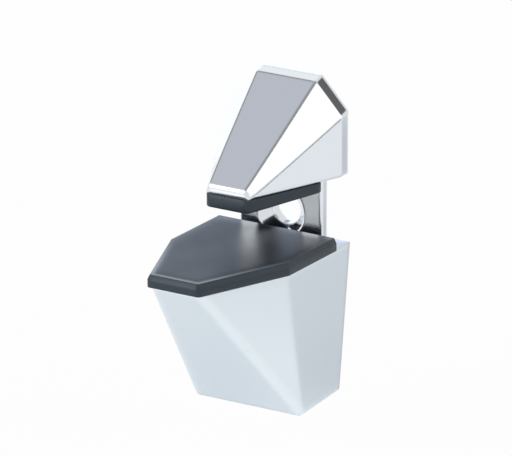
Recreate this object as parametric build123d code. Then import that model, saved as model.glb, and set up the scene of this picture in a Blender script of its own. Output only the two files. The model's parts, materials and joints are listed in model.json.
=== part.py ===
from build123d import *
import os

# Shelf support that clamps a glass or wooden shelf between two padded jaws on a wall.
# Sizes are in millimetres. The wall is the plane Y = 0, the shelf lies on the -Y side and
# Z points up. The origin is where the axis of the wall screw meets the wall.

# Wall screw hole through the stem
wall_hole_radius = 3.7
countersink_radius = 6.3
countersink_rim_round = 0.4
wall_boss_wall = 2.4

# Stem, which joins the upper jaw to the clamping screw
stem_width = 21.5
stem_thickness = 2.8
stem_standoff = 2.4
stem_edge_round = 0.7
stem_root = 5.0
lug_radius = 5.4
lug_height = 6.0
foot_gap = 0.5

# Jaw opening at the nose as shown, and the thinnest shelf that the jaws still hold
shelf_gap = 9.6
thinnest_shelf = 3.0
hole_above_lower_pad = 3.2

# Lower body, a faceted casting with a kite-shaped top and a smaller foot
body_height = 36.0
body_width = 30.0
body_depth = 49.0
body_nose_width = 12.4
body_shoulder_depth = 26.5
foot_depth = 18.3
foot_front_width = 28.1
foot_back_width = 24.6
body_wall = 2.2
body_edge_round = 1.4
guide_thickness = 2.0
guide_overlap = 2.0
slide_clearance = 0.15

# Lower pad
lower_pad_thickness = 2.9
lower_pad_overhang = 0.7
pad_setback = 6.9
lower_pad_corner_round = 1.2
lower_pad_bevel_width = 1.2
lower_pad_bevel_height = 0.6
lower_pad_edge_round = 0.25

# Upper jaw, a faceted head on a straight rim
jaw_reach = 27.6
jaw_width = 28.8
jaw_nose_width = 10.8
jaw_nose_height = 2.2
jaw_nose_lean = 0.4
jaw_shoulder_height = 14.3
jaw_top_height = 21.4
jaw_top_width = 15.4
rim_depth = 2.8
rim_rise = 0.8
jaw_wall = 2.0
jaw_rib_thickness = 2.4
jaw_edge_round = 0.9

# Upper pad, a wedge that is thicker at the nose, so that the nose grips first
upper_pad_thickness = 3.0
upper_pad_rear_thickness = 2.1
upper_pad_corner_round = 1.5
upper_pad_edge_round = 0.3

# Studs that hold the pads in the castings
stud_radius = 1.6
stud_length = 3.4
stud_clearance = 0.05
lower_front_stud_setback = 9.5
lower_rear_stud_depth = 21.5
lower_rear_stud_spacing = 17.0
upper_stud_depth = 14.5
upper_stud_spacing = 11.0

# Clamping screw with a hexagon socket head, held in the foot of the lower body
thread_diameter = 5.0
thread_clearance = 0.05
screw_offset = 5.6
screw_head_diameter = 8.5
screw_head_height = 5.0
screw_head_recess = 0.3
screw_head_clearance = 0.3
screw_shank_clearance = 0.25
screw_head_chamfer = 0.5
screw_tip_chamfer = 0.7
screw_tip_gap = 0.7
hex_key_size = 4.0
hex_socket_depth = 2.5
screw_boss_wall = 2.0
seat_thickness = 3.0

# Retaining ring in a groove of the screw
ring_thickness = 0.7
ring_play = 0.15
ring_groove_depth = 0.6
ring_groove_clearance = 0.05
ring_band_width = 1.1
ring_outer_radius = 4.2
ring_prong_width = 1.8

# Room that a cutting or joining shape has past the surface that it meets, and how exactly
# an edge or face is found by its place
past = 1.0
nearly = 0.01

# Heights and depths that follow from the sizes
lower_pad_top = -hole_above_lower_pad
deck_z = lower_pad_top - lower_pad_thickness
floor_z = deck_z - body_height
seat_z = floor_z + screw_head_recess + screw_head_height
screw_boss_top = seat_z + seat_thickness
ring_z = screw_boss_top + ring_play
closing_travel = shelf_gap - thinnest_shelf
foot_z = ring_z + ring_thickness + foot_gap + closing_travel
lug_top = foot_z + lug_height
opening_travel = deck_z - body_wall - lug_top - foot_gap
upper_pad_bottom = lower_pad_top + shelf_gap
jaw_z = upper_pad_bottom + upper_pad_thickness
stem_front = -(stem_standoff + stem_thickness)
screw_y = stem_front - screw_offset
wall_boss_radius = wall_hole_radius + wall_boss_wall
thread_radius = thread_diameter / 2
groove_radius = thread_radius - ring_groove_depth


def mirrored(point):
    return (-point[0], point[1], point[2])


def facet(*points):
    return Face(Wire.make_polygon(points))


def symmetric_facet(*points):
    """A flat facet across the symmetry plane, from the corners of its right half."""
    return facet(*points, *[mirrored(p) for p in reversed(points)])


def both_sides(make, *points):
    return [make(*points), make(*[mirrored(p) for p in points])]


def warped_facet(top_front, top_back, bottom_front, bottom_back):
    """A facet between a top and a bottom edge that aren't parallel."""
    top_edge = Edge.make_line(top_front, top_back)
    bottom_edge = Edge.make_line(bottom_front, bottom_back)
    return Face.make_surface_from_curves(top_edge, bottom_edge)


def off_wall(shape):
    """True of an edge or a face that doesn't lie on the wall."""
    return shape.center().Y < -nearly


def cored(block, wall):
    """The core of a casting, a wall's thickness inside each facet and open at the wall side."""
    size = block.bounding_box().size
    core = Pos(block.center()) * Box(2 * size.X, 2 * size.Y, 2 * size.Z)
    for side in filter(off_wall, block.faces()):
        middle = side.center()
        inner = Plane(origin=middle, z_dir=side.normal_at(middle)).offset(-wall)
        core = split(core, bisect_by=inner, keep=Keep.BOTTOM)
    return core


def bar(x, y, z):
    """A box between two limits along each axis."""
    limits = [x, y, z]
    sizes = [high - low for low, high in limits]
    middle = [(high + low) / 2 for low, high in limits]
    return Pos(*middle) * Box(*sizes)


def upright(radius, x, y, z_low, z_high):
    """A vertical cylinder between two heights."""
    height = z_high - z_low
    return Pos(x, y, (z_low + z_high) / 2) * Cylinder(radius, height)


def lower_body_block():
    nose = (body_nose_width / 2, -body_depth, deck_z)
    shoulder = (body_width / 2, -body_shoulder_depth, deck_z)
    back = (body_width / 2, 0, deck_z)
    toe = (foot_front_width / 2, -foot_depth, floor_z)
    heel = (foot_back_width / 2, 0, floor_z)
    facets = [
        symmetric_facet(nose, shoulder, back),
        symmetric_facet(toe, heel),
        symmetric_facet(back, heel),
        symmetric_facet(nose, toe),
        *both_sides(facet, nose, shoulder, toe),
        *both_sides(warped_facet, shoulder, back, toe, heel),
    ]
    return Solid(Shell(facets))


def upper_jaw_block():
    rim_top = jaw_z + jaw_top_height
    rim_shoulder = jaw_z + jaw_shoulder_height
    nose_low = (jaw_nose_width / 2, -jaw_reach, jaw_z)
    nose = (jaw_nose_width / 2 - jaw_nose_lean, -jaw_reach, jaw_z + jaw_nose_height)
    low = (jaw_width / 2, -rim_depth, jaw_z)
    shoulder = (jaw_width / 2, -rim_depth, rim_shoulder)
    top = (jaw_top_width / 2, -rim_depth, rim_top)
    back_low = (jaw_width / 2, 0, jaw_z)
    back_shoulder = (jaw_width / 2, 0, rim_shoulder + rim_rise)
    back_top = (jaw_top_width / 2, 0, rim_top + rim_rise)
    facets = [
        symmetric_facet(nose_low, low, back_low),
        symmetric_facet(nose_low, nose),
        symmetric_facet(nose, top),
        symmetric_facet(top, back_top),
        symmetric_facet(back_low, back_shoulder, back_top),
        *both_sides(warped_facet, nose, top, nose_low, shoulder),
        *both_sides(facet, nose_low, shoulder, low),
        *both_sides(facet, low, shoulder, back_shoulder, back_low),
        *both_sides(facet, shoulder, top, back_top, back_shoulder),
    ]
    return Solid(Shell(facets))


def lower_stud_places():
    rear_x = lower_rear_stud_spacing / 2
    front = (0, -(body_depth - lower_front_stud_setback))
    return [front, (rear_x, -lower_rear_stud_depth), (-rear_x, -lower_rear_stud_depth)]


def upper_stud_places():
    return [(side * upper_stud_spacing / 2, -upper_stud_depth) for side in (-1, 1)]


def studs(places, z_low, z_high, radius):
    return [upright(radius, x, y, z_low, z_high) for x, y in places]


def wall_screw_hole():
    """The through hole with its countersink on the shelf side."""
    cone_depth = countersink_radius - wall_hole_radius
    cone_middle = stem_front + cone_depth / 2
    to_shelf = Rot(90, 0, 0)
    hole = to_shelf * Cylinder(wall_hole_radius, 2 * (stem_standoff + stem_thickness + past))
    cone = Pos(0, cone_middle, 0) * to_shelf * Cone(wall_hole_radius, countersink_radius, cone_depth)
    mouth = Pos(0, stem_front - past / 2, 0) * to_shelf * Cylinder(countersink_radius, past)
    return hole + cone + mouth


def stem():
    """The upright plate with the wall boss behind it and the threaded lug at its foot."""
    half = stem_width / 2
    top = jaw_z + jaw_wall + stem_root
    plate = bar((-half, half), (stem_front, -stem_standoff), (foot_z, top))
    plate = fillet(plate.edges().filter_by(Axis.Z), stem_edge_round)
    boss = Pos(0, -(stem_standoff + stem_thickness / 2) / 2, 0) * Rot(90, 0, 0)
    boss = boss * Cylinder(wall_boss_radius, stem_standoff + stem_thickness / 2)
    lug_back = stem_front + stem_thickness / 2
    lug = bar((-lug_radius, lug_radius), (screw_y, lug_back), (foot_z, lug_top))
    lug = lug + upright(lug_radius, 0, screw_y, foot_z, lug_top)
    solid = plate + boss + lug - wall_screw_hole()
    tapped = thread_radius + thread_clearance
    solid = solid - upright(tapped, 0, screw_y, foot_z - past, lug_top + past)
    rim = [
        e
        for e in solid.edges().filter_by(GeomType.CIRCLE)
        if abs(e.radius - countersink_radius) < nearly and abs(e.center().Y - stem_front) < nearly
    ]
    return fillet(rim, countersink_rim_round)


def upper_jaw():
    block = upper_jaw_block()
    casting = block.fillet(jaw_edge_round, filter(off_wall, block.edges()))
    half_rib = jaw_rib_thickness / 2
    rib = bar((-half_rib, half_rib), (-jaw_reach, -stem_standoff), (jaw_z, jaw_z + jaw_top_height))
    jaw = casting - cored(block, jaw_wall) + (rib & casting) + stem()
    hole_radius = stud_radius + stud_clearance
    for hole in studs(upper_stud_places(), jaw_z - past, jaw_z + jaw_wall + past, hole_radius):
        jaw = jaw - hole
    return jaw


def lower_body():
    # The ridges and the edges of the foot are soft, and the edge round the deck is crisp
    faceted = lower_body_block()
    soft_edges = [e for e in faceted.edges() if off_wall(e) and e.center().Z < deck_z - nearly]
    block = faceted.fillet(body_edge_round, soft_edges)
    casting = block - cored(faceted, body_wall)
    # Guides at both sides of the stem, with a lip behind its edges
    slot_half = stem_width / 2 + slide_clearance
    lip_x = slot_half - guide_overlap
    slot_front = stem_front - slide_clearance
    guide_front = slot_front - guide_thickness
    for side in (-1, 1):
        x = sorted((side * lip_x, side * body_width))
        casting = casting + (bar(x, (guide_front, 0), (floor_z, deck_z)) & block)
    boss_radius = screw_head_diameter / 2 + screw_head_clearance + screw_boss_wall
    casting = casting + (upright(boss_radius, 0, screw_y, floor_z, screw_boss_top) & block)
    above = deck_z + past
    slot_back = -stem_standoff + slide_clearance
    slot = bar((-slot_half, slot_half), (slot_front, slot_back), (screw_boss_top, above))
    boss_slot_half = wall_boss_radius + slide_clearance
    boss_slot = bar((-boss_slot_half, boss_slot_half), (slot_back - past, past), (screw_boss_top, above))
    # Notch in the deck that the lug passes through when the stem is put in
    notch_half = lug_radius + slide_clearance
    below = deck_z - body_wall - past
    notch = bar((-notch_half, notch_half), (screw_y, slot_front + past), (below, above))
    notch = notch + upright(notch_half, 0, screw_y, below, above)
    casting = casting - slot - boss_slot - notch
    # Counterbore and clearance hole of the clamping screw
    head_radius = screw_head_diameter / 2 + screw_head_clearance
    shank_radius = thread_radius + screw_shank_clearance
    casting = casting - upright(head_radius, 0, screw_y, floor_z - past, seat_z)
    casting = casting - upright(shank_radius, 0, screw_y, floor_z, screw_boss_top + past)
    for hole in studs(lower_stud_places(), below, above, stud_radius + stud_clearance):
        casting = casting - hole
    return casting


def lower_pad():
    nose = (body_nose_width / 2, -body_depth)
    shoulder = (body_width / 2, -body_shoulder_depth)
    back = (body_width / 2, 0)
    right = [nose, shoulder, back]
    outline = make_face(Polyline(*right, *[(-x, y) for x, y in reversed(right)], close=True))
    outline = offset(outline, lower_pad_overhang, kind=Kind.INTERSECTION)
    pad = extrude(Pos(0, 0, deck_z) * outline, lower_pad_thickness)
    pad = fillet(pad.edges().filter_by(Axis.Z), lower_pad_corner_round)
    top_face = pad.faces().sort_by(Axis.Z)[-1]
    pad = chamfer(top_face.edges(), lower_pad_bevel_height, lower_pad_bevel_width, reference=top_face)
    bevel_z = lower_pad_top - lower_pad_bevel_height
    upper_edges = [e for e in pad.edges() if e.center().Z > bevel_z - nearly]
    pad = fillet(upper_edges, lower_pad_edge_round)
    # The rear end is cut square, so the bevel runs round the nose and the sides only
    in_front = bar((-body_width, body_width), (-2 * body_depth, -pad_setback), (floor_z, jaw_z))
    pad = pad & in_front
    for stud in studs(lower_stud_places(), deck_z - stud_length, lower_pad_top - past, stud_radius):
        pad = pad + stud
    return pad


def upper_pad():
    nose = (jaw_nose_width / 2, -jaw_reach)
    rim = (jaw_width / 2, -rim_depth)
    slope = (rim[0] - nose[0]) / (rim[1] - nose[1])
    end = (nose[0] + slope * (-pad_setback - nose[1]), -pad_setback)
    outline = make_face(Polyline(nose, end, (-end[0], end[1]), (-nose[0], nose[1]), close=True))
    pad = extrude(Pos(0, 0, upper_pad_bottom) * outline, upper_pad_thickness)
    pad = fillet(pad.edges().filter_by(Axis.Z), upper_pad_corner_round)
    nose_bottom = Vector(0, -jaw_reach, upper_pad_bottom)
    rear_bottom = Vector(0, -pad_setback, jaw_z - upper_pad_rear_thickness)
    uphill = rear_bottom - nose_bottom
    grip = Plane(origin=nose_bottom, x_dir=(1, 0, 0), z_dir=Vector(1, 0, 0).cross(uphill))
    pad = split(pad, bisect_by=grip, keep=Keep.TOP)
    grip_face = pad.faces().sort_by(Axis.Z)[0]
    pad = fillet(grip_face.edges(), upper_pad_edge_round)
    for stud in studs(upper_stud_places(), upper_pad_bottom + past, jaw_z + stud_length, stud_radius):
        pad = pad + stud
    return pad


def clamp_screw():
    head_radius = screw_head_diameter / 2
    head_z = seat_z - screw_head_height
    tip_z = deck_z - screw_tip_gap
    head = upright(head_radius, 0, screw_y, head_z, seat_z)
    head = chamfer(head.edges().sort_by(Axis.Z)[0], screw_head_chamfer)
    shank = upright(thread_radius, 0, screw_y, seat_z, tip_z)
    shank = chamfer(shank.edges().sort_by(Axis.Z)[-1], screw_tip_chamfer)
    hexagon = RegularPolygon(hex_key_size / 2, 6, major_radius=False)
    socket = extrude(Pos(0, screw_y, head_z) * hexagon, hex_socket_depth)
    band = ring_thickness + 2 * ring_groove_clearance
    groove_z = ring_z - ring_groove_clearance
    groove = upright(thread_radius + past, 0, screw_y, groove_z, groove_z + band)
    groove = groove - upright(groove_radius, 0, screw_y, groove_z, groove_z + band)
    return head + shank - socket - groove


def retaining_ring():
    """A spring clip, open on one side, whose three prongs reach into the groove."""
    sketch = Circle(ring_outer_radius) - Circle(ring_outer_radius - ring_band_width)
    reach = ring_outer_radius - ring_band_width / 2
    prong = Pos(reach / 2, 0) * Rectangle(reach, ring_prong_width)
    for turn in (0, 90, 180):
        sketch = sketch + Rot(0, 0, turn) * prong
    sketch = sketch - Circle(groove_radius + ring_groove_clearance)
    mouth = Pos(0, -ring_outer_radius) * Rectangle(2 * groove_radius, 2 * ring_outer_radius)
    return extrude(Pos(0, screw_y, ring_z) * (sketch - mouth), ring_thickness)


PARTS = {
    "upper_jaw": upper_jaw,
    "upper_pad": upper_pad,
    "lower_body": lower_body,
    "lower_pad": lower_pad,
    "clamp_screw": clamp_screw,
    "retaining_ring": retaining_ring,
}

os.makedirs("parts", exist_ok=True)
for name, make in PARTS.items():
    export_step(make(), f"parts/{name}.step")

print("closing travel", closing_travel, "opening travel", opening_travel)
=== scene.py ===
import json
import math

import bpy
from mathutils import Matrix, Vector


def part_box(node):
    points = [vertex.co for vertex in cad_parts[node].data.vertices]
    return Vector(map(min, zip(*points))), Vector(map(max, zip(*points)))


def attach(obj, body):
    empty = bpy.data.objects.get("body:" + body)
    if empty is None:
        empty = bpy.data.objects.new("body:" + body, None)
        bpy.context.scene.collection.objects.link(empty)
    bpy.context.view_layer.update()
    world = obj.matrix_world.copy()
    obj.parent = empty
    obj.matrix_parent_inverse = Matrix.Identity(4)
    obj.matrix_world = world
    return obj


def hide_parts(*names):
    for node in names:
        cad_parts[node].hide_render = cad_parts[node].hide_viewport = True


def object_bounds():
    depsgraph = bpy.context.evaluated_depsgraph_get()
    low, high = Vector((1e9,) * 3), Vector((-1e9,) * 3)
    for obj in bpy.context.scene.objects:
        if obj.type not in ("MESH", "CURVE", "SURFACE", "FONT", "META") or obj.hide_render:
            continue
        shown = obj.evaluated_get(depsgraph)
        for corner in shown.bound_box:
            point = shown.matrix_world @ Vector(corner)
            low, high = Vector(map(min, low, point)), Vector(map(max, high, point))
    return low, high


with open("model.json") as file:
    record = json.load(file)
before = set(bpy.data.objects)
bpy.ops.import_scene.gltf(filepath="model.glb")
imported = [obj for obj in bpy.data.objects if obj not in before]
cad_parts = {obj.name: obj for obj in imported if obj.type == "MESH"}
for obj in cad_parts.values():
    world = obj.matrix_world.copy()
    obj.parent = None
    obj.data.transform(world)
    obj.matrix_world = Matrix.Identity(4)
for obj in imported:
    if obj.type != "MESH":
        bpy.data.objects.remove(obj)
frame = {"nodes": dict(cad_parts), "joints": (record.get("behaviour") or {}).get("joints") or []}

MM = 0.001
cad_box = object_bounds()
body_low, body_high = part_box("lower_body")
screw_low, screw_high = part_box("clamp_screw")
ring_low, ring_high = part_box("retaining_ring")
joints = {joint["name"]: joint for joint in frame["joints"]}
lowest_slide = joints["lower_jaw_slide"]["range_m"][0]

# Camera, which looks down at the object from its right-hand side
CAMERA_AZIMUTH = math.radians(32.0)
CAMERA_ELEVATION = math.radians(18.7)
CAMERA_DISTANCE = 1.631
CAMERA_TARGET = Vector((-0.604, -14.44, -1.50)) * MM
CAMERA_NEAR = 0.05
CAMERA_FAR = 50
LENS_MM = 518.0
SENSOR_MM = 36.0

# Studio walls and their soft cards: direction, inner and outer half angle in degrees, brightness
# and tint, where a later card covers an earlier one
COOL = (0.96, 0.985, 1.0)
LILAC = (0.93, 0.965, 1.06)
BLUE = (0.86, 1.0, 1.26)
WHITE = (1, 1, 1, 1)
STUDIO_WALL = 0.86
STUDIO_CARDS = [
    ((-0.56, 0.8, 0.22), 13, 24, 1.3, BLUE),
    ((-0.44, 0.74, 0.51), 6, 15, 0.42, COOL),
    ((0.07, -0.16, 0.98), 24, 30, 0.33, COOL),
    ((-0.74, 0.1, 0.66), 8, 15, 0.3, COOL),
    ((-0.502, 0.15, 0.85), 4, 9, 0.22, COOL),
    ((-0.502, -0.144, 0.853), 8, 13, 0.6, LILAC),
    ((0.636, -0.167, 0.753), 12, 16, 1.35, COOL),
    ((0.82, 0.08, 0.56), 14, 24, 1.35, COOL),
    ((0.92, 0.27, 0.28), 12, 20, 1.35, COOL),
    ((0.538, 0.523, 0.661), 9, 17, 0.14, COOL),
    ((-0.873, 0.487, 0.03), 16, 32, 1.15, COOL),
    ((-0.502, 0.513, 0.697), 7, 12, 1.0, COOL),
    ((-0.5, -0.8, 0.33), 8, 27, 3.8, COOL),
    ((0.965, 0.235, -0.115), 5, 10, 0.22, COOL),
]

# Floor, a wide disc that lies clear of the lower body when the jaws are open
FLOOR_RADIUS = 0.35
FLOOR_SIDES = 128
FLOOR_CLEARANCE = 0.5 * MM
FLOOR_PAINT = (0.9, 0.91, 0.92, 1)
FLOOR_ROUGHNESS = 0.8
# How much of the floor glows: plain white to the camera, and coloured in what mirrors it
FLOOR_WHITE_SHARE = 0.95
FLOOR_SEEN_SHARE = 0.6
FLOOR_COLOUR = (0.97, 1.01, 1.04)
# Painted shadows and pools of light on the floor, seen only where the metal mirrors it, in
# millimetres: centre, radius and colour
FLOOR_PAINTED_SHADOWS_AND_LIGHTS = [
    ((-92, -178), 140, (1.18, 1.19, 1.21)),
    ((-74, -167), 34, (2.6, 2.6, 2.66)),
    ((-12, -22), 26, (0.84, 0.9, 0.96)),
    ((62, -11), 38, (1.2, 1.2, 1.22)),
    ((62, 70), 75, (0.61, 0.66, 0.68)),
    ((126, 178), 80, (0.5, 0.53, 0.56)),
    ((98, 118), 48, (0.42, 0.45, 0.48)),
    ((142, 0), 45, (0.45, 0.48, 0.5)),
    ((33, 33), 32, (0.55, 0.57, 0.64)),
]

# Metals: colour, cells per metre of the noise in their roughness, lowest and highest roughness
SATIN_COLOUR = (0.8, 0.845, 0.875, 1)
METALS = {
    "polished_chrome": ((0.84, 0.85, 0.87, 1), 900, 0.03, 0.07),
    "satin_chrome": (SATIN_COLOUR, 2500, 0.34, 0.42),
    "zinc_plated_steel": ((0.72, 0.74, 0.76, 1), 1500, 0.2, 0.32),
    "spring_steel": ((0.16, 0.16, 0.17, 1), 1500, 0.3, 0.45),
}

# Ridge of the lower body from a corner of its nose to a corner of its foot, with a painted
# highlight along it
NOSE_HALF_WIDTH = 6.2 * MM
FOOT_HALF_WIDTH = 14.05 * MM
FOOT_DEPTH = 18.3 * MM
NOSE_CORNER = Vector((NOSE_HALF_WIDTH, body_low.y, body_high.z))
TOE_CORNER = Vector((FOOT_HALF_WIDTH, -FOOT_DEPTH, body_low.z))
PAINTED_RIDGE_HIGHLIGHT_COLOUR = (0.89, 0.93, 0.95, 1)
PAINTED_RIDGE_HIGHLIGHT_WIDTH = 2.6 * MM

# Rubber of the pads, and a painted highlight along their top edges, strongest at the nose
RUBBER_COLOUR = (0.02, 0.026, 0.034, 1)
RUBBER_SPECULAR = 0.5
RUBBER_TINT = (0.8, 0.9, 1.0, 1)
RUBBER_CELLS = 140
RUBBER_DETAIL = 2.0
RUBBER_ROUGHNESS = (0.33, 0.38)
PAINTED_EDGE_HIGHLIGHT_COLOUR = (0.27, 0.3, 0.33, 1)
EDGE_HIGHLIGHT_START_Y = -24.0 * MM
EDGE_HIGHLIGHT_FULL_Y = -46.0 * MM
LEAST_EDGE_HIGHLIGHT = 0.12
# Cosines between softened and true normals where the painted highlight starts and where it is full
EDGE_HIGHLIGHT_COSINES = (0.9996, 0.993)
# Heights of a face's normal where it starts to count as a top face and where it fully does
TOP_FACE_HEIGHTS = (0.6, 0.95)

# Softness that the shading adds to the edges of the castings and pads, and the pads' crown
JAW_SOFTNESS = 1.0 * MM
BODY_SOFTNESS = 2.2 * MM
PAD_SOFTNESS = 0.5 * MM
PAD_EDGE_WIDTH = 2.4 * MM
PAD_CROWN = 5.0 * MM
PAD_CROWN_SHARE = 0.3
SOFTNESS_SAMPLES = 8

# Noise: its detail in grain and in waves, and the part of its range that it mostly keeps to
GRAIN_DETAIL = 3.0
WAVE_DETAIL = 1.0
NOISE_LOW = 0.3
NOISE_HIGH = 0.7

# Reliefs: cells per metre and detail of their noise, strength and height
JAW_WAVES = (120, WAVE_DETAIL, 0.12, 0.2 * MM)
BODY_GRAIN = (9000, GRAIN_DETAIL, 0.05, 0.05 * MM)
PAD_WAVES = (90, WAVE_DETAIL, 0.1, 0.5 * MM)
PAD_GRAIN = (6000, GRAIN_DETAIL, 0.05, 0.03 * MM)

# Clamping screw, in millimetres, with the sizes of its plain solid and a thread cut into it
SCREW_Y = (screw_low.y + screw_high.y) / 2 / MM
SCREW_HEAD_BOTTOM = screw_low.z / MM
SCREW_TIP = screw_high.z / MM
HEAD_RADIUS = screw_high.x / MM
HEAD_HEIGHT = 5.0
HEAD_CHAMFER = 0.5
SCREW_SEAT = SCREW_HEAD_BOTTOM + HEAD_HEIGHT
KNURL_DEPTH = 0.1
KNURLS = 48
HEX_HALF_WIDTH = 2.0
HEX_DEPTH = 2.5
HEX_MOUTH_CHAMFER = 0.25
SHANK_RADIUS = 2.5
TIP_CHAMFER = 0.7
GROOVE_RADIUS = 1.9
GROOVE_CLEARANCE = 0.05
GROOVE_BOTTOM = ring_low.z / MM - GROOVE_CLEARANCE
GROOVE_TOP = ring_high.z / MM + GROOVE_CLEARANCE
THREAD_SETBACK = 0.6
THREAD_START = GROOVE_TOP + THREAD_SETBACK
THREAD_END = SCREW_TIP - TIP_CHAMFER
THREAD_PITCH = 0.8
THREAD_DEPTH = 0.42
THREAD_RUN_OUT = 0.8
# Depths that a flank goes down over half a pitch, and what is taken off for the flat crest
THREAD_FLANK_SLOPE = 1.3
THREAD_CREST_SHARE = 0.15
SIDES = 96
ROWS_PER_TURN = 10
SHARP_ANGLE = math.radians(32)


def new_material(name):
    material = bpy.data.materials.new(name)
    material.use_nodes = True
    nodes = material.node_tree.nodes
    return material, nodes, material.node_tree.links, nodes["Principled BSDF"]


def give(links, socket, value):
    """Links a socket to the output of a node, or sets it to a plain value."""
    if isinstance(value, bpy.types.NodeSocket):
        links.new(value, socket)
    else:
        socket.default_value = value


def arithmetic(nodes, links, operation, *values):
    node = nodes.new("ShaderNodeMath")
    node.operation = operation
    for socket, value in zip(node.inputs, values):
        give(links, socket, value)
    return node.outputs["Value"]


def vectors(nodes, links, operation, *values):
    """The outputs of a calculation with vectors, by name."""
    node = nodes.new("ShaderNodeVectorMath")
    node.operation = operation
    for socket, value in zip(node.inputs, values):
        give(links, socket, value)
    return node.outputs


def parts_of(nodes, links, vector):
    """The X, Y and Z of a vector, by name."""
    split = nodes.new("ShaderNodeSeparateXYZ")
    links.new(vector, split.inputs["Vector"])
    return split.outputs


def object_point(nodes):
    """The shaded point, in coordinates that are fixed to the object."""
    return nodes.new("ShaderNodeTexCoord").outputs["Object"]


def ranged(nodes, links, value, start, end, low=0.0, high=1.0, smooth=False):
    """A number that goes from low to high while the value goes from start to end."""
    node = nodes.new("ShaderNodeMapRange")
    if smooth:
        node.interpolation_type = "SMOOTHSTEP"
    node.inputs["From Min"].default_value = start
    node.inputs["From Max"].default_value = end
    node.inputs["To Min"].default_value = low
    node.inputs["To Max"].default_value = high
    links.new(value, node.inputs["Value"])
    return node.outputs["Result"]


def scaled(colour, level=1):
    return tuple(share * level for share in colour) + (1,)


def blended(nodes, links, factor, first, second):
    """The first colour where the factor is 0 and the second where it is 1."""
    mix = nodes.new("ShaderNodeMix")
    mix.data_type = "RGBA"
    links.new(factor, mix.inputs["Factor"])
    give(links, mix.inputs["A"], first)
    give(links, mix.inputs["B"], second)
    return mix.outputs["Result"]


def mixed_shaders(nodes, links, factor, first, second):
    """The first shader where the factor is 0 and the second where it is 1."""
    mix = nodes.new("ShaderNodeMixShader")
    links.new(factor, mix.inputs["Fac"])
    links.new(first, mix.inputs[1])
    links.new(second, mix.inputs[2])
    return mix.outputs["Shader"]


def object_noise(nodes, links, cells, detail):
    """Noise that is fixed to the object, with its cells per metre."""
    noise = nodes.new("ShaderNodeTexNoise")
    noise.inputs["Scale"].default_value = cells
    noise.inputs["Detail"].default_value = detail
    links.new(object_point(nodes), noise.inputs["Vector"])
    return noise.outputs["Fac"]


def give_roughness(nodes, links, shader, cells, detail, smoothest, roughest):
    """Roughness that varies a little over the surface."""
    noise = object_noise(nodes, links, cells, detail)
    roughness = ranged(nodes, links, noise, NOISE_LOW, NOISE_HIGH, smoothest, roughest)
    links.new(roughness, shader.inputs["Roughness"])


def soft_edges(nodes, radius):
    """Normals that turn smoothly over the edges, within a radius of them."""
    bevel = nodes.new("ShaderNodeBevel")
    bevel.samples = SOFTNESS_SAMPLES
    bevel.inputs["Radius"].default_value = radius
    return bevel.outputs["Normal"]


def mixed_normals(nodes, links, first, second, share):
    mix = nodes.new("ShaderNodeMix")
    mix.data_type = "VECTOR"
    mix.inputs["Factor"].default_value = share
    links.new(first, mix.inputs["A"])
    links.new(second, mix.inputs["B"])
    return vectors(nodes, links, "NORMALIZE", mix.outputs["Result"])["Vector"]


def relief(nodes, links, shape, normals):
    """Normals that follow a shallow noise on top of the given ones."""
    cells, detail, strength, height = shape
    node = nodes.new("ShaderNodeBump")
    node.inputs["Strength"].default_value = strength
    node.inputs["Distance"].default_value = height
    links.new(object_noise(nodes, links, cells, detail), node.inputs["Height"])
    links.new(normals, node.inputs["Normal"])
    return node.outputs["Normal"]


def edge_of_top(nodes, links, softened):
    """One at the edges of faces that look up, where softened normals lean away from the face."""
    face = nodes.new("ShaderNodeNewGeometry").outputs["True Normal"]
    lean = vectors(nodes, links, "DOT_PRODUCT", softened, face)["Value"]
    at_edge = ranged(nodes, links, lean, *EDGE_HIGHLIGHT_COSINES, smooth=True)
    on_top = ranged(nodes, links, parts_of(nodes, links, face)["Z"], *TOP_FACE_HEIGHTS)
    return arithmetic(nodes, links, "MULTIPLY", at_edge, on_top)


def near_ridge(nodes, links, start, end, width):
    """One on the ridge between two points and on its mirrored twin, fading out at a distance."""
    point = parts_of(nodes, links, object_point(nodes))
    right_half = nodes.new("ShaderNodeCombineXYZ")
    links.new(arithmetic(nodes, links, "ABSOLUTE", point["X"]), right_half.inputs["X"])
    links.new(point["Y"], right_half.inputs["Y"])
    links.new(point["Z"], right_half.inputs["Z"])
    offset = vectors(nodes, links, "SUBTRACT", right_half.outputs["Vector"], start)["Vector"]
    along = (end - start).normalized()
    across = vectors(nodes, links, "CROSS_PRODUCT", offset, along)["Vector"]
    distance = vectors(nodes, links, "LENGTH", across)["Value"]
    return ranged(nodes, links, distance, 0, width, low=1, high=0, smooth=True)


def metal(name):
    """One of the metals, with its nodes, links and shader."""
    colour, cells, smoothest, roughest = METALS[name]
    material, nodes, links, shader = new_material(name)
    shader.inputs["Base Color"].default_value = colour
    shader.inputs["Metallic"].default_value = 1.0
    give_roughness(nodes, links, shader, cells, GRAIN_DETAIL, smoothest, roughest)
    return material, nodes, links, shader


def polished_chrome():
    """Chrome plate on a casting that is polished by hand, so that its mirror is a little wavy."""
    material, nodes, links, shader = metal("polished_chrome")
    wavy = relief(nodes, links, JAW_WAVES, soft_edges(nodes, JAW_SOFTNESS))
    links.new(wavy, shader.inputs["Normal"])
    return material


def satin_chrome():
    """Satin chrome plate with a fine grain, and a painted highlight along its front ridges."""
    material, nodes, links, shader = metal("satin_chrome")
    # Painted highlight along the ridge from the nose to the toe, and along its mirrored twin
    painted_ridge_highlight = near_ridge(nodes, links, NOSE_CORNER, TOE_CORNER, PAINTED_RIDGE_HIGHLIGHT_WIDTH)
    colour = blended(nodes, links, painted_ridge_highlight, SATIN_COLOUR, PAINTED_RIDGE_HIGHLIGHT_COLOUR)
    links.new(colour, shader.inputs["Base Color"])
    grained = relief(nodes, links, BODY_GRAIN, soft_edges(nodes, BODY_SOFTNESS))
    links.new(grained, shader.inputs["Normal"])
    return material


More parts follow.
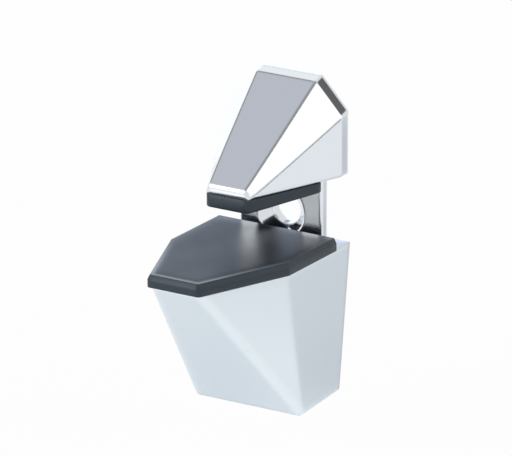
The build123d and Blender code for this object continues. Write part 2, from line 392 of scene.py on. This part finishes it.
def pad_rubber():
    """Moulded rubber with a slight sheen and crown, and a painted highlight along its top edges
    that is strongest at the nose.
    """
    material, nodes, links, shader = new_material("pad_rubber")
    shader.inputs["Specular IOR Level"].default_value = RUBBER_SPECULAR
    shader.inputs["Specular Tint"].default_value = RUBBER_TINT
    give_roughness(nodes, links, shader, RUBBER_CELLS, RUBBER_DETAIL, *RUBBER_ROUGHNESS)
    # Painted highlight along the top edges of the pads, strongest at the nose
    edges = edge_of_top(nodes, links, soft_edges(nodes, PAD_EDGE_WIDTH))
    depth = parts_of(nodes, links, object_point(nodes))["Y"]
    growth = ranged(nodes, links, depth, EDGE_HIGHLIGHT_START_Y, EDGE_HIGHLIGHT_FULL_Y, low=LEAST_EDGE_HIGHLIGHT)
    painted_edge_highlight = arithmetic(nodes, links, "MULTIPLY", edges, growth)
    colour = blended(nodes, links, painted_edge_highlight, RUBBER_COLOUR, PAINTED_EDGE_HIGHLIGHT_COLOUR)
    links.new(colour, shader.inputs["Base Color"])
    rounded = soft_edges(nodes, PAD_SOFTNESS)
    crowned = soft_edges(nodes, PAD_CROWN)
    softened = mixed_normals(nodes, links, rounded, crowned, PAD_CROWN_SHARE)
    wavy = relief(nodes, links, PAD_WAVES, softened)
    links.new(relief(nodes, links, PAD_GRAIN, wavy), shader.inputs["Normal"])
    return material


def dress(node, material):
    """Gives a solid of the model its finish."""
    mesh = frame["nodes"][node].data
    mesh.materials.clear()
    mesh.materials.append(material)


def make_camera():
    x = math.sin(CAMERA_AZIMUTH) * math.cos(CAMERA_ELEVATION)
    y = -math.cos(CAMERA_AZIMUTH) * math.cos(CAMERA_ELEVATION)
    back = Vector((x, y, math.sin(CAMERA_ELEVATION)))
    data = bpy.data.cameras.new("camera")
    data.lens = LENS_MM
    data.sensor_width = SENSOR_MM
    data.sensor_fit = "HORIZONTAL"
    data.clip_start = CAMERA_NEAR
    data.clip_end = CAMERA_FAR
    camera = bpy.data.objects.new("camera", data)
    camera.location = CAMERA_TARGET + back * CAMERA_DISTANCE
    camera.rotation_euler = (-back).to_track_quat("-Z", "Y").to_euler()
    bpy.context.scene.collection.objects.link(camera)
    bpy.context.scene.camera = camera


def make_world():
    """A studio of pale walls and cards for light and mirrors, which the camera sees as white."""
    world = bpy.data.worlds.new("studio")
    world.use_nodes = True
    bpy.context.scene.world = world
    nodes, links = world.node_tree.nodes, world.node_tree.links
    studio = nodes["Background"]
    direction = nodes.new("ShaderNodeTexCoord").outputs["Generated"]
    colour = scaled(COOL, STUDIO_WALL)
    for towards, inner, outer, level, tint in STUDIO_CARDS:
        centre = Vector(towards).normalized()
        turn = vectors(nodes, links, "DOT_PRODUCT", direction, centre)["Value"]
        outside = math.cos(math.radians(outer))
        inside = math.cos(math.radians(inner))
        card = ranged(nodes, links, turn, outside, inside, smooth=True)
        colour = blended(nodes, links, card, colour, scaled(tint, level))
    links.new(colour, studio.inputs["Color"])
    white = nodes.new("ShaderNodeBackground")
    white.inputs["Color"].default_value = WHITE
    seen = nodes.new("ShaderNodeLightPath").outputs["Is Camera Ray"]
    unseen_studio = studio.outputs["Background"]
    seen_white = white.outputs["Background"]
    mixed = mixed_shaders(nodes, links, seen, unseen_studio, seen_white)
    links.new(mixed, nodes["World Output"].inputs["Surface"])


def make_floor():
    """A pale floor with a faint shadow, and painted shadows and pools of light where the metal
    mirrors it.
    """
    bpy.ops.mesh.primitive_circle_add(vertices=FLOOR_SIDES, radius=FLOOR_RADIUS, fill_type="NGON")
    floor = bpy.context.object
    floor.name = "floor"
    floor.location.z = cad_box[0].z + lowest_slide - FLOOR_CLEARANCE
    material, nodes, links, shader = new_material("floor")
    shader.inputs["Base Color"].default_value = FLOOR_PAINT
    shader.inputs["Roughness"].default_value = FLOOR_ROUGHNESS
    shader.inputs["Specular IOR Level"].default_value = 0.0
    place = object_point(nodes)
    colour = scaled(FLOOR_COLOUR)
    # Painted shadows and pools of light, which only glossy rays see on the floor
    for (x, y), radius, painted_patch_colour in FLOOR_PAINTED_SHADOWS_AND_LIGHTS:
        away = vectors(nodes, links, "DISTANCE", place, (x * MM, y * MM, 0))["Value"]
        painted_patch = ranged(nodes, links, away, 0, radius * MM, low=1, high=0, smooth=True)
        colour = blended(nodes, links, painted_patch, colour, scaled(painted_patch_colour))
    seen = nodes.new("ShaderNodeLightPath").outputs
    glow = nodes.new("ShaderNodeEmission")
    colour = blended(nodes, links, seen["Is Camera Ray"], colour, WHITE)
    links.new(colour, glow.inputs["Color"])
    to_camera = arithmetic(nodes, links, "MULTIPLY", seen["Is Camera Ray"], FLOOR_WHITE_SHARE)
    to_mirrors = arithmetic(nodes, links, "MULTIPLY", seen["Is Glossy Ray"], FLOOR_SEEN_SHARE)
    share = arithmetic(nodes, links, "MAXIMUM", to_camera, to_mirrors)
    paint = shader.outputs["BSDF"]
    upper_side = mixed_shaders(nodes, links, share, paint, glow.outputs["Emission"])
    # From below the floor isn't there, so that the underside of the object can be seen
    nothing = nodes.new("ShaderNodeBsdfTransparent").outputs["BSDF"]
    from_below = nodes.new("ShaderNodeNewGeometry").outputs["Backfacing"]
    both_sides = mixed_shaders(nodes, links, from_below, upper_side, nothing)
    links.new(both_sides, nodes["Material Output"].inputs["Surface"])
    floor.data.materials.append(material)


def rings_mesh(name, rings):
    """A closed mesh through rings of points, with a flat face at each end."""
    vertices = [point for ring in rings for point in ring]
    sides = len(rings[0])
    faces = []
    for row in range(len(rings) - 1):
        for side in range(sides):
            near = row * sides + side
            far = row * sides + (side + 1) % sides
            faces.append((near, near + sides, far + sides, far))
    faces.append(tuple(range(sides)))
    faces.append(tuple(reversed(range(len(vertices) - sides, len(vertices)))))
    mesh = bpy.data.meshes.new(name)
    mesh.from_pydata(vertices, [], faces)
    mesh.validate()
    return mesh


def screw_ring(height, radius):
    """One ring of the screw, where radius is a number or a function of the angle."""
    ring = []
    for side in range(SIDES):
        angle = 2 * math.pi * side / SIDES
        r = radius(angle) if callable(radius) else radius
        ring.append((r * math.cos(angle) * MM, (SCREW_Y + r * math.sin(angle)) * MM, height * MM))
    return ring


def hexagon(half_width):
    sector = math.pi / 3
    return lambda angle: half_width / math.cos((angle + sector / 2) % sector - sector / 2)


def knurled(angle):
    return HEAD_RADIUS - KNURL_DEPTH * (1 + math.cos(KNURLS * angle)) / 2


def clamped(value):
    return min(1, max(0, value))


def thread_radius(height):
    """The radius round the screw at one height, on a right-handed thread that fades at its ends."""
    fade_in = clamped((height - THREAD_START) / THREAD_RUN_OUT)
    fade_out = clamped((THREAD_END - height) / THREAD_RUN_OUT)
    depth = THREAD_DEPTH * min(fade_in, fade_out)

    def radius(angle):
        phase = (height / THREAD_PITCH - angle / (2 * math.pi)) % 1
        flank = abs(2 * phase - 1)
        return SHANK_RADIUS - depth * clamped(THREAD_FLANK_SLOPE * flank - THREAD_CREST_SHARE)

    return radius


def make_screw():
    rings = [
        screw_ring(SCREW_HEAD_BOTTOM + HEX_DEPTH, hexagon(HEX_HALF_WIDTH)),
        screw_ring(SCREW_HEAD_BOTTOM + HEX_MOUTH_CHAMFER, hexagon(HEX_HALF_WIDTH)),
        screw_ring(SCREW_HEAD_BOTTOM, hexagon(HEX_HALF_WIDTH + HEX_MOUTH_CHAMFER)),
        screw_ring(SCREW_HEAD_BOTTOM, HEAD_RADIUS - HEAD_CHAMFER),
        screw_ring(SCREW_HEAD_BOTTOM + HEAD_CHAMFER, knurled),
        screw_ring(SCREW_SEAT - HEAD_CHAMFER / 2, knurled),
        screw_ring(SCREW_SEAT, HEAD_RADIUS - HEAD_CHAMFER / 2),
        screw_ring(SCREW_SEAT, SHANK_RADIUS),
        screw_ring(GROOVE_BOTTOM, SHANK_RADIUS),
        screw_ring(GROOVE_BOTTOM, GROOVE_RADIUS),
        screw_ring(GROOVE_TOP, GROOVE_RADIUS),
        screw_ring(GROOVE_TOP, SHANK_RADIUS),
        screw_ring(THREAD_START, SHANK_RADIUS),
    ]
    step = THREAD_PITCH / ROWS_PER_TURN
    for row in range(1, round((THREAD_END - THREAD_START) / step)):
        height = THREAD_START + row * step
        rings.append(screw_ring(height, thread_radius(height)))
    rings.append(screw_ring(THREAD_END, SHANK_RADIUS))
    rings.append(screw_ring(SCREW_TIP, SHANK_RADIUS - TIP_CHAMFER))
    screw = bpy.data.objects.new("threaded_screw", rings_mesh("threaded_screw", rings))
    bpy.context.scene.collection.objects.link(screw)
    screw.data.materials.append(metal("zinc_plated_steel")[0])
    for polygon in screw.data.polygons:
        polygon.use_smooth = True
    screw.data.set_sharp_from_angle(angle=SHARP_ANGLE)
    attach(screw, "clamp_screw")
    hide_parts("clamp_screw")


bpy.context.scene.view_settings.view_transform = "Standard"
make_camera()
make_world()
make_floor()
dress("upper_jaw", polished_chrome())
dress("lower_body", satin_chrome())
rubber = pad_rubber()
dress("upper_pad", rubber)
dress("lower_pad", rubber)
dress("retaining_ring", metal("spring_steel")[0])
make_screw()
